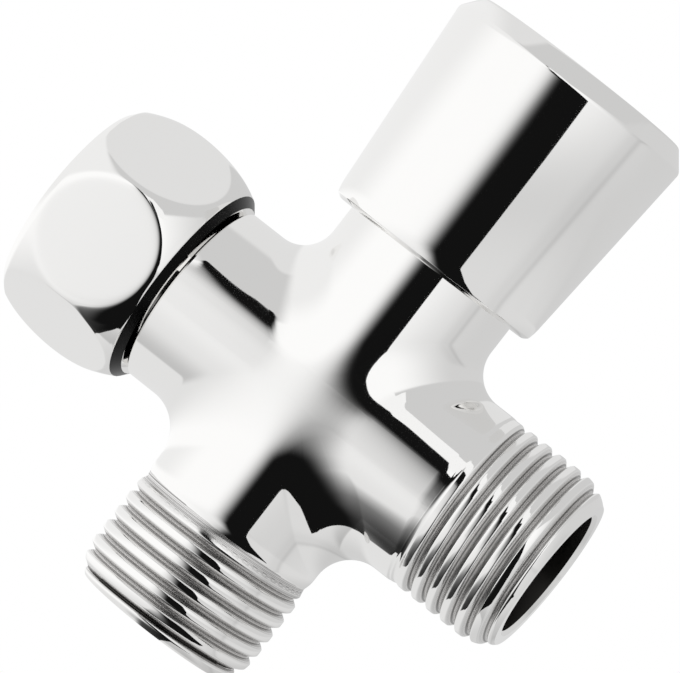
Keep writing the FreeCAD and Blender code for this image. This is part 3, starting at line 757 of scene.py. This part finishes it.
def knob_holes(knob):
    """Closed tools for the D-shaped socket, whose radius a flat cuts off, and for the set screw's hole."""
    turn = full_turn(BORE_COLUMNS)
    radius = knob.socket_flat / np.maximum(np.cos(turn), knob.socket_flat / knob.socket)
    start = knob.cavity_floor - knob.edge
    capped = np.array([0, 1, 1, 0])[:, None]
    along = np.array([0, 0, 1, 1])[:, None]
    socket = about_x(start + along * (knob.socket_end - start), capped * radius, turn)
    hole = about_z(along * (knob.large_radius + knob.bevel), capped * knob.screw, turn)
    hole = np.stack([knob.screw_place + hole[..., 0], hole[..., 2], hole[..., 1]], axis=-1)
    return [joined_mesh("knob_socket", [socket]), joined_mesh("screw_hole", [hole])]


# Materials

def node_group(name, inputs, outputs):
    """Start a shader node group with named value sockets, and return it with its two end nodes."""
    group = bpy.data.node_groups.new(name, "ShaderNodeTree")
    for label, default in inputs.items():
        socket = group.interface.new_socket(name=label, in_out="INPUT", socket_type="NodeSocketFloat")
        socket.default_value = default
    for label in outputs:
        group.interface.new_socket(name=label, in_out="OUTPUT", socket_type="NodeSocketFloat")
    return group, group.nodes.new("NodeGroupInput"), group.nodes.new("NodeGroupOutput")


def add_node(tree, kind, **settings):
    """Add a node and set its properties."""
    node = tree.nodes.new(kind)
    for name, value in settings.items():
        setattr(node, name, value)
    return node


def math_node(tree, operation, first, second):
    """Add a Math node fed by sockets or plain numbers, and return its result."""
    node = add_node(tree, "ShaderNodeMath", operation=operation)
    for socket, source in zip(node.inputs, (first, second)):
        if isinstance(source, (int, float)):
            socket.default_value = source
        else:
            tree.links.new(source, socket)
    return node.outputs["Value"]


def noise(tree, vector, scale, detail):
    """Add a noise texture whose scale is fed by a socket, and return its value."""
    node = add_node(tree, "ShaderNodeTexNoise")
    tree.links.new(vector, node.inputs["Vector"])
    node.inputs["Detail"].default_value = detail
    tree.links.new(scale, node.inputs["Scale"])
    return node.outputs["Fac"]


def polish_marks():
    """Buffed plate: a roughness that drifts in clouds, and a height with long waves and fine grain."""
    grain_share = 0.03
    inputs = {"Roughness": 0.04, "Drift": 0.02, "Waves": 120, "Grain": 2500}
    group, start, end = node_group("polish marks", inputs, ("Roughness", "Height"))
    place = add_node(group, "ShaderNodeTexCoord").outputs["Object"]
    clouds = noise(group, place, start.outputs["Waves"], detail=3)
    grain = noise(group, place, start.outputs["Grain"], detail=2)
    about_mean = math_node(group, "SUBTRACT", clouds, 0.5)
    drift = math_node(group, "MULTIPLY", about_mean, start.outputs["Drift"])
    group.links.new(math_node(group, "ADD", start.outputs["Roughness"], drift), end.inputs["Roughness"])
    fine = math_node(group, "MULTIPLY", grain, grain_share)
    group.links.new(math_node(group, "ADD", clouds, fine), end.inputs["Height"])
    return group


def lathe_marks():
    """Turned metal: fine rings that follow the distance along X plus from X, and a slow change of tone."""
    group, start, end = node_group("lathe marks", {"Rings": 9000, "Tone": 300}, ("Ring", "Tone"))
    place = add_node(group, "ShaderNodeTexCoord").outputs["Object"]
    split = add_node(group, "ShaderNodeSeparateXYZ")
    group.links.new(place, split.inputs["Vector"])
    y_square, z_square = (math_node(group, "POWER", split.outputs[axis], 2) for axis in "YZ")
    radius = math_node(group, "POWER", math_node(group, "ADD", y_square, z_square), 0.5)
    path = math_node(group, "ADD", split.outputs["X"], radius)
    line = add_node(group, "ShaderNodeTexNoise", noise_dimensions="1D")
    group.links.new(path, line.inputs["W"])
    group.links.new(start.outputs["Rings"], line.inputs["Scale"])
    group.links.new(line.outputs["Fac"], end.inputs["Ring"])
    group.links.new(noise(group, place, start.outputs["Tone"], detail=4), end.inputs["Tone"])
    return group


def speckle():
    """Moulded or rubbed surface: coarse mottling and fine grain."""
    group, start, end = node_group("speckle", {"Mottle": 400, "Grain": 4000}, ("Mottle", "Grain"))
    place = add_node(group, "ShaderNodeTexCoord").outputs["Object"]
    group.links.new(noise(group, place, start.outputs["Mottle"], detail=4), end.inputs["Mottle"])
    group.links.new(noise(group, place, start.outputs["Grain"], detail=2), end.inputs["Grain"])
    return group


def shared_group(make, name):
    """The node group of that name, built on first use."""
    return bpy.data.node_groups.get(name) or make()


def blank_material(name, metallic):
    """A material with one Principled shader, returned with the shader."""
    material = bpy.data.materials.new(name)
    material.use_nodes = True
    shader = material.node_tree.nodes["Principled BSDF"]
    shader.inputs["Metallic"].default_value = metallic
    return material, shader


def bump(tree, height, strength, distance):
    """Add a Bump node on a height, and return its normal."""
    node = add_node(tree, "ShaderNodeBump")
    node.inputs["Strength"].default_value = strength
    node.inputs["Distance"].default_value = distance
    tree.links.new(height, node.inputs["Height"])
    return node.outputs["Normal"]


def ramp(tree, value, dark, light, low=0.3, high=0.7):
    """Add a colour ramp from a dark to a light tone, and return its colour."""
    node = add_node(tree, "ShaderNodeValToRGB")
    node.color_ramp.elements[0].position = low
    node.color_ramp.elements[1].position = high
    node.color_ramp.elements[0].color = (*dark, 1)
    node.color_ramp.elements[1].color = (*light, 1)
    tree.links.new(value, node.inputs["Fac"])
    return node.outputs["Color"]


def scaled(tone, factor):
    """A colour times a number."""
    return tuple(factor * part for part in tone)


def chrome_plate(name, tone, roughness, drift, waves):
    """Mirror-bright chrome: drifting roughness and very shallow polishing waves, in millimetres."""
    material, shader = blank_material(name, 1)
    tree = material.node_tree
    marks = add_node(tree, "ShaderNodeGroup", node_tree=shared_group(polish_marks, "polish marks"))
    marks.inputs["Roughness"].default_value = roughness
    marks.inputs["Drift"].default_value = drift
    shader.inputs["Base Color"].default_value = (*tone, 1)
    tree.links.new(marks.outputs["Roughness"], shader.inputs["Roughness"])
    normal = bump(tree, marks.outputs["Height"], strength=0.3, distance=waves * MM)
    tree.links.new(normal, shader.inputs["Normal"])
    return material


def cut_threads(material, finish):
    """Give a plate duller flanks with tool lines along them where the mesh has a cut thread."""
    tree = material.node_tree
    shader = tree.nodes["Principled BSDF"]
    cut = add_node(tree, "ShaderNodeAttribute", attribute_name="cut").outputs["Fac"]
    lay = add_node(tree, "ShaderNodeAttribute", attribute_name="lay").outputs["Fac"]
    lines = add_node(tree, "ShaderNodeTexNoise", noise_dimensions="1D")
    lines.inputs["Scale"].default_value = finish.tool_lines
    tree.links.new(lay, lines.inputs["W"])
    groove = scaled(finish.flank, 0.35)
    tones = ramp(tree, lines.outputs["Fac"], groove, finish.flank, low=0.42, high=0.56)
    mix = add_node(tree, "ShaderNodeMix", data_type="RGBA")
    plain_colour, cut_colour = mix.inputs[6:8]
    mixed_colour = mix.outputs[2]
    tree.links.new(cut, mix.inputs["Factor"])
    plain_colour.default_value = (*finish.chrome, 1)
    tree.links.new(tones, cut_colour)
    tree.links.new(mixed_colour, shader.inputs["Base Color"])
    polished = shader.inputs["Roughness"].links[0].from_socket
    rough = math_node(tree, "MULTIPLY", cut, finish.flank_gloss)
    tree.links.new(math_node(tree, "ADD", polished, rough), shader.inputs["Roughness"])


def turned_metal(name, tone, roughness):
    """Lathe-turned metal with fine rings in its tone, gloss and height."""
    material, shader = blank_material(name, 1)
    tree = material.node_tree
    marks = add_node(tree, "ShaderNodeGroup", node_tree=shared_group(lathe_marks, "lathe marks"))
    dark = scaled(tone, 0.78)
    tones = ramp(tree, marks.outputs["Tone"], dark, tone)
    tree.links.new(tones, shader.inputs["Base Color"])
    gloss = ramp(tree, marks.outputs["Ring"], (roughness,) * 3, (2 * roughness,) * 3)
    tree.links.new(gloss, shader.inputs["Roughness"])
    normal = bump(tree, marks.outputs["Ring"], strength=0.25, distance=0.02 * MM)
    tree.links.new(normal, shader.inputs["Normal"])
    return material


def moulded(name, tone, roughness, contrast):
    """Plastic or rubber: mottled tone and a finely grained surface."""
    material, shader = blank_material(name, 0)
    tree = material.node_tree
    marks = add_node(tree, "ShaderNodeGroup", node_tree=shared_group(speckle, "speckle"))
    tones = ramp(tree, marks.outputs["Mottle"], scaled(tone, contrast), tone)
    tree.links.new(tones, shader.inputs["Base Color"])
    gloss = ramp(tree, marks.outputs["Grain"], (roughness,) * 3, (min(1, 1.3 * roughness),) * 3)
    tree.links.new(gloss, shader.inputs["Roughness"])
    normal = bump(tree, marks.outputs["Grain"], strength=0.3, distance=0.03 * MM)
    tree.links.new(normal, shader.inputs["Normal"])
    return material


def dress_node(node, material):
    """Give a CAD node its material in its first slot."""
    item = frame["nodes"][node]
    item.material_slots[0].material = material


# Stage

def place_camera(stage):
    """Camera at the measured place, turned by heading and pitch and then about its own view."""
    data = bpy.data.cameras.new("camera")
    data.lens = stage.lens
    data.sensor_width = 36
    data.clip_start = 0.01
    camera = add_object("camera", data)
    level = Vector((math.cos(stage.heading), math.sin(stage.heading), 0))
    ahead = Vector((-math.sin(stage.heading) * math.cos(stage.pitch),
                    math.cos(stage.heading) * math.cos(stage.pitch), math.sin(stage.pitch)))
    above = level.cross(ahead)
    right = math.cos(stage.roll) * level + math.sin(stage.roll) * above
    up = right.cross(ahead)
    turn = Matrix((right, up, -ahead)).transposed()
    camera.matrix_world = Matrix.Translation(stage.camera) @ turn.to_4x4()
    bpy.context.scene.camera = camera
    return right, up, -ahead


def reflected(across, up, axes):
    """Directions that a mirror ball shows at places on its disc: 2 (n . v) n - v for its normal n."""
    deep = np.sqrt(np.clip(1 - across ** 2 - up ** 2, 0, 1))
    local = np.stack([2 * deep * across, 2 * deep * up, 2 * deep ** 2 - 1], axis=-1)
    return local @ np.array(axes)


def show_mix(tree, share_of_second, first, second, out):
    """Send a mix of two shaders to a material's output."""
    mix = add_node(tree, "ShaderNodeMixShader")
    for socket, source in zip(mix.inputs, (share_of_second, first, second)):
        tree.links.new(source, socket)
    tree.links.new(mix.outputs["Shader"], out.inputs["Surface"])


def emitter(name, see_through):
    """Light as bright as the mesh's shade attribute, as solid as its veil attribute where that counts."""
    material = bpy.data.materials.new(name)
    material.use_nodes = True
    tree = material.node_tree
    tree.nodes.clear()
    out = add_node(tree, "ShaderNodeOutputMaterial")
    glow = add_node(tree, "ShaderNodeEmission")
    shade = add_node(tree, "ShaderNodeAttribute", attribute_name="shade")
    tree.links.new(shade.outputs["Fac"], glow.inputs["Strength"])
    if not see_through:
        tree.links.new(glow.outputs["Emission"], out.inputs["Surface"])
        return material
    clear = add_node(tree, "ShaderNodeBsdfTransparent")
    veil = add_node(tree, "ShaderNodeAttribute", attribute_name="veil")
    show_mix(tree, veil.outputs["Fac"], clear.outputs["BSDF"], glow.outputs["Emission"], out)
    return material


def add_panel(name, directions, radius, centre, shade, veil=None):
    """Add a part of a sphere that shines, stores its brightness and shows in polished metal alone."""
    mesh = grid_mesh(name, [radius * directions], centre)
    points = directions.shape[:2]
    store(mesh, "shade", np.broadcast_to(shade, points).ravel())
    if veil is not None:
        store(mesh, "veil", veil.ravel())
    mesh.materials.append(emitter(name, see_through=veil is not None))
    item = add_object(name, mesh)
    item.visible_camera = False
    item.visible_diffuse = False
    item.visible_transmission = False
    item.visible_volume_scatter = False
    item.visible_shadow = False


def glow(lightness):
    """Brightness that chrome shows as a lightness from nought to one on the screen."""
    return lightness ** SCREEN_GAMMA / CHROME_SHARE


def bright_side(across, up):
    """Lightness of the tent's left: paler in the middle, with a smudge that has one crisp border."""
    lightness = 0.875 + 0.11 * smooth(-0.32, 0.20, up) - 0.06 * smooth(0.35, 0.52, up)
    over_inlet = 0.618 * across + 0.786 * up
    along_inlet = 0.618 * up - 0.786 * across
    smudge = smooth(-0.70, -0.68, over_inlet) * (1 - smooth(-0.68, -0.45, over_inlet))
    return lightness - 0.13 * smudge * (1 - smooth(0.16, 0.30, along_inlet))


def cloth_side(across, up):
    """Lightness of the tent's right: plain cloth with a window, a paler strip above and a dim seam.

    The window has a crisp top that steps down and a slanted foot. It dims to the right, above and below.
    """
    foot = -0.16 - 0.72 * (across - 0.14)
    top = np.where(across < 0.15, 0.35, 0.22)
    window = (1 - smooth(0, 0.02, up - top)) * smooth(-0.03, 0.03, up - foot)
    window = window * (1 - 0.16 * smooth(0.20, 0.26, up)) * (1 - 0.4 * smooth(-0.1, 0.3, -up))
    window = window * (1 - 0.9 * smooth(0.15, 0.65, across))
    from_seam = 0.79 * across - 0.61 * up - 0.617
    seam = 0.05 * np.exp(-(from_seam / 0.02) ** 2) + 0.03 * np.exp(-((from_seam + 0.05) / 0.06) ** 2)
    cloth = 0.79 + 0.055 * smooth(0, 0.06, foot - up) + 0.075 * smooth(0.67, 0.70, up)
    return cloth + 0.19 * window - seam * smooth(0, 0.1, -up)


def tent_lightness(across, up):
    """Lightness at places on the mirror ball's disc: both sides of the tent, less some for the ground."""
    left = bright_side(across, up)
    right = cloth_side(across, up)
    ground = smooth(0.60, 0.90, -up) * smooth(-0.55, -0.40, across)
    return right + (left - right) * (1 - smooth(-0.12, 0.02, across)) - 0.07 * ground


def tent(stage, axes):
    """Light tent: a sphere whose rings are places at equal distances on the mirror ball's disc."""
    reach = np.linspace(0, 1, TENT_ROWS)[:, None]
    turn = full_turn(TENT_COLUMNS)
    across = reach * np.cos(turn)
    up = reach * np.sin(turn)
    shade = glow(tent_lightness(across, up))
    add_panel("tent", reflected(across, up, axes), stage.tent, CROSSING, shade)


# Rows of a card, as places on the mirror ball's disc: height, soft border, where the card is solid and
# crisp border
OPENING_ROWS = (
    (0.398, 0.030, 0.050, 0.066),
    (0.390, -0.01, 0.035, 0.062),
    (0.380, -0.04, 0.020, 0.058),
    (0.340, -0.06, 0.005, 0.036),
    (0.300, -0.08, -0.014, 0.032),
    (0.260, -0.12, -0.020, 0.030),
    (0.200, -0.22, -0.010, 0.014),
    (0.180, -0.26, -0.005, 0.012),
    (0.100, -0.34, -0.015, 0.050),
    (0.050, -0.39, -0.025, 0.075),
    (-0.010, -0.41, -0.065, 0.095),
    (-0.060, -0.38, -0.098, 0.110),
    (-0.140, -0.36, -0.105, 0.110),
    (-0.200, -0.40, -0.100, 0.090),
    (-0.340, -0.40, -0.110, 0.095),
    (-0.420, -0.40, -0.140, 0.125),
    (-0.560, -0.40, -0.250, 0.190),
    (-0.590, -0.30, -0.200, 0.120),
)
SKIRT_ROWS = (
    (0.335, -0.03, 0.005, 0.034),
    (0.260, -0.13, -0.042, 0.030),
    (0.190, -0.16, -0.030, 0.012),
    (0.100, -0.26, -0.020, 0.020),
    (0.000, -0.30, -0.060, 0.020),
    (-0.100, -0.26, -0.100, 0.020),
    (-0.200, -0.34, -0.100, 0.020),
    (-0.270, -0.46, -0.100, 0.020),
    (-0.340, -0.53, -0.110, 0.020),
    (-0.420, -0.57, -0.140, 0.020),
    (-0.500, -0.59, -0.250, 0.020),
    (-0.570, -0.59, -0.300, 0.020),
    (-0.590, -0.40, -0.200, 0.020),
)
# Share of the light behind the skirt that is left past its soft border, by height
SKIRT_LEFT = ((-0.20, 1), (-0.27, 0.80), (-0.34, 0.55), (-0.42, 0.40), (-0.50, 0.25), (-0.57, 0.20))
ALL_LEFT = ((0, 1),)
STRIP_ROWS = (
    (0.440, 0.070, 0.072, 0.108),
    (0.400, 0.030, 0.032, 0.113),
    (0.360, 0.020, 0.022, 0.130),
    (0.340, 0.015, 0.017, 0.150),
    (0.335, 0.034, 0.036, 0.160),
    (0.260, 0.030, 0.032, 0.200),
)
# Share of the distance at which a card stands before what it covers
OPENING_INSET = 0.97
STRIP_INSET = 0.99


def card(name, axes, card_rows, radius, centre, lightness, light_left=ALL_LEFT):
    """A card round the camera, between a soft left border and a crisp right border.

    The light behind falls from the soft border as 1 - t^3.5 to where the card is solid, and eases to the
    share that is left soon after that border.
    """
    ease = 0.2
    power = 3.5
    height, *borders = np.array(card_rows).T
    rows = np.linspace(height[0], height[-1], CARD_ROWS)
    soft, solid, crisp = (np.interp(-rows, -height, border)[:, None] for border in borders)
    left_height, left_share = np.array(light_left).T
    left = np.interp(-rows, -left_height, left_share)[:, None]
    across = soft + (crisp - soft) * np.linspace(0, 1, CARD_COLUMNS)
    up = np.broadcast_to(rows[:, None], across.shape)
    fall = np.clip((across - soft) / (solid - soft), 0, 1)
    eased = 1 - (1 - left) * smooth(0, ease, fall)
    veil = 1 - (eased * (1 - fall ** power)) ** SCREEN_GAMMA
    add_panel(name, reflected(across, up, axes), radius, centre, glow(lightness), veil)


def white_world(stage):
    """White for the camera, mirrors and clear things, and an even pale light for the rest."""
    world = bpy.data.worlds.new("studio")
    bpy.context.scene.world = world
    world.use_nodes = True
    tree = world.node_tree
    background = tree.nodes["Background"]
    background.inputs["Color"].default_value = (1, 1, 1, 1)
    ray = add_node(tree, "ShaderNodeLightPath")
    seen = math_node(tree, "ADD", ray.outputs["Is Camera Ray"], ray.outputs["Is Glossy Ray"])
    seen = math_node(tree, "MINIMUM", math_node(tree, "ADD", seen, ray.outputs["Is Transmission Ray"]), 1)
    tree.links.new(math_node(tree, "MAXIMUM", seen, stage.ambient), background.inputs["Strength"])


def pale_floor(stage):
    """A pale floor that takes the soft shadow near the object and runs out into the white background."""
    fade_start, fade_end = 0.25, 0.9
    half = stage.floor_size
    grid = np.linspace(-half, half, 3)
    x, y = np.meshgrid(grid, grid, indexing="ij")
    points = np.stack([x, y, 0 * x + stage.floor], axis=-1)
    mesh = joined_mesh("floor", [points - np.array(CROSSING)])
    item = add_object("floor", mesh)
    material, shader = blank_material("pale floor", 0)
    tree = material.node_tree
    shader.inputs["Base Color"].default_value = (*stage.floor_colour, 1)
    shader.inputs["Roughness"].default_value = 0.9
    place = add_node(tree, "ShaderNodeTexCoord")
    flat = add_node(tree, "ShaderNodeVectorMath", operation="LENGTH")
    tree.links.new(place.outputs["Object"], flat.inputs[0])
    fade = add_node(tree, "ShaderNodeMapRange")
    fade.inputs["From Min"].default_value = fade_start
    fade.inputs["From Max"].default_value = fade_end
    tree.links.new(flat.outputs["Value"], fade.inputs["Value"])
    ray = add_node(tree, "ShaderNodeLightPath")
    seen = math_node(tree, "ADD", ray.outputs["Is Glossy Ray"], ray.outputs["Is Transmission Ray"])
    white = add_node(tree, "ShaderNodeEmission").outputs["Emission"]
    hidden = math_node(tree, "MAXIMUM", fade.outputs["Result"], seen)
    show_mix(tree, hidden, shader.outputs["BSDF"], white, tree.nodes["Material Output"])
    mesh.materials.append(material)
    item.visible_glossy = False


def soft_lamp(name, place, size, energy):
    """A square lamp aimed at the crossing, which mirrors don't show."""
    data = bpy.data.lights.new(name, "AREA")
    data.size = size
    data.energy = energy
    lamp = add_object(name, data)
    lamp.location = place
    lamp.rotation_euler = (CROSSING - Vector(place)).to_track_quat("-Z", "Y").to_euler()
    lamp.visible_glossy = False


# Operators

class DIVERTER_OT_body(Operator):
    """Build the cast body with its threads and bores"""
    bl_idname = "diverter.body"
    bl_label = "Body"

    def execute(self, context):
        settings = context.scene.diverter
        finish = settings.finish
        item = add_object("body_shell", outer_shell(settings.body, settings.thread))
        cut_away(item, body_bores(settings.body))
        mark_shaded_bores(item, settings.body)
        mark_threads(item, settings.body, settings.thread)
        polish(item)
        plate = chrome_plate("chrome body", finish.chrome, finish.chrome_gloss, drift=0.03, waves=0.004)
        cut_threads(plate, finish)
        # Bore plate: a thin dull plate, with painted shade that darkens the bores
        bore = chrome_plate("bore plate", finish.bore, 0.35, drift=0.15, waves=0.02)
        finish_piece(item, "valve", "valve_body", (plate, bore))
        return {"FINISHED"}


class DIVERTER_OT_nut(Operator):
    """Build the swivel nut with its six flats and inner thread"""
    bl_idname = "diverter.nut"
    bl_label = "Swivel nut"

    def execute(self, context):
        settings = context.scene.diverter
        finish = settings.finish
        item = add_object("nut_shell", nut_shell(settings.nut, settings.thread))
        polish(item)
        plate = chrome_plate("chrome nut", finish.chrome, finish.chrome_gloss, drift=0.03, waves=0.003)
        mark_dark_reflection_bevel(item, settings.nut)
        # The black bevel plate is a painted dark reflection
        dull = chrome_plate("nut bevel", finish.bevel, 0.3, drift=0.1, waves=0.01)
        finish_piece(item, "nut", "swivel_nut", (plate, dull))
        return {"FINISHED"}


class DIVERTER_OT_knob(Operator):
    """Build the tapered knob with its socket and screw hole"""
    bl_idname = "diverter.knob"
    bl_label = "Knob"

    def execute(self, context):
        settings = context.scene.diverter
        finish = settings.finish
        item = add_object("knob_shell", knob_shell(settings.knob))
        cut_away(item, knob_holes(settings.knob))
        polish(item)
        plate = chrome_plate("chrome knob", finish.chrome, finish.chrome_gloss, drift=0.03, waves=0.003)
        finish_piece(item, "control", "knob", (plate,))
        return {"FINISHED"}


class DIVERTER_OT_inner_parts(Operator):
    """Dress the rotor, bonnet, seals, washers, screen and fixings"""
    bl_idname = "diverter.inner_parts"
    bl_label = "Inner parts"

    def execute(self, context):
        finish = context.scene.diverter.finish
        metals = (
            ("rotor", "brass_rotor", "rotor brass", finish.brass, 0.14),
            ("bonnet", "brass_bonnet", "bonnet brass", finish.brass, 0.18),
            ("stop_washer", "stop_steel", "stamped steel", finish.steel, 0.22),
            ("nut_retaining_ring", "ring_steel", "spring wire", finish.steel, 0.16),
            ("inlet_screen", "screen_steel", "pierced steel", finish.steel, 0.20),
            ("set_screw", "screw_steel", "screw steel", finish.screw, 0.25),
        )
        for node, slot, name, tone, roughness in metals:
            dress_node(node, turned_metal(name, tone, roughness))
        mouldings = (
            ("rotor_sleeve", "liner_plastic", "liner plastic", finish.liner, 0.42, 0.93),
            ("thrust_washer", "washer_plastic", "washer plastic", finish.washer, 0.40, 0.94),
            ("inlet_washer", "washer_rubber", "washer rubber", finish.rubber, 0.55, 0.6),
        )
        for node, slot, name, tone, roughness, contrast in mouldings:
            dress_node(node, moulded(name, tone, roughness, contrast))
        seal = moulded("seal rubber", finish.rubber, 0.45, 0.7)
        for ring in ("bonnet_seal_ring", "stem_ring_inner", "stem_ring_outer"):
            dress_node(ring, seal)
        return {"FINISHED"}


class DIVERTER_OT_stage(Operator):
    """Set up the camera, the floor, the lamps and the light tent"""
    bl_idname = "diverter.stage"
    bl_label = "Stage"

    def execute(self, context):
        stage = context.scene.diverter.stage
        context.scene.view_settings.view_transform = "Standard"
        axes = place_camera(stage)
        white_world(stage)
        pale_floor(stage)
        soft_lamp("key lamp", (-0.5, -0.6, 0.8), size=0.7, energy=9)
        soft_lamp("fill lamp", (0.7, -0.3, 0.6), size=0.7, energy=4)
        tent(stage, axes)
        below = CROSSING + Vector((0, 0, -stage.skirt_drop))
        card("dark_opening", axes, OPENING_ROWS, OPENING_INSET * stage.tent, CROSSING, stage.dark)
        card("dark_skirt", axes, SKIRT_ROWS, stage.skirt, below, stage.dark, SKIRT_LEFT)
        card("white_strip", axes, STRIP_ROWS, STRIP_INSET * stage.skirt, below, stage.white)
        return {"FINISHED"}


STEPS = (
    DIVERTER_OT_body,
    DIVERTER_OT_nut,
    DIVERTER_OT_knob,
    DIVERTER_OT_inner_parts,
    DIVERTER_OT_stage,
)


class DIVERTER_PT_sidebar(Panel):
    """Steps that dress the diverter valve"""
    bl_idname = "DIVERTER_PT_sidebar"
    bl_label = "Shower diverter valve"
    bl_space_type = "VIEW_3D"
    bl_region_type = "UI"
    bl_category = "Diverter"

    def draw(self, context):
        for step in STEPS:
            self.layout.operator(step.bl_idname)


GROUPS = (BodySizes, ThreadSizes, NutSizes, KnobSizes, Finishes, StageSettings, DiverterSettings)
CLASSES = GROUPS + STEPS + (DIVERTER_PT_sidebar,)


def register():
    """Register the classes and hang the settings on the scene."""
    for item in CLASSES:
        bpy.utils.register_class(item)
    bpy.types.Scene.diverter = PointerProperty(type=DiverterSettings)


def unregister():
    """Undo register."""
    del bpy.types.Scene.diverter
    for item in reversed(CLASSES):
        bpy.utils.unregister_class(item)


def main():
    """Build every piece and the stage."""
    register()
    bpy.ops.diverter.body()
    bpy.ops.diverter.nut()
    bpy.ops.diverter.knob()
    bpy.ops.diverter.inner_parts()
    bpy.ops.diverter.stage()


if __name__ == "__main__":
    main()
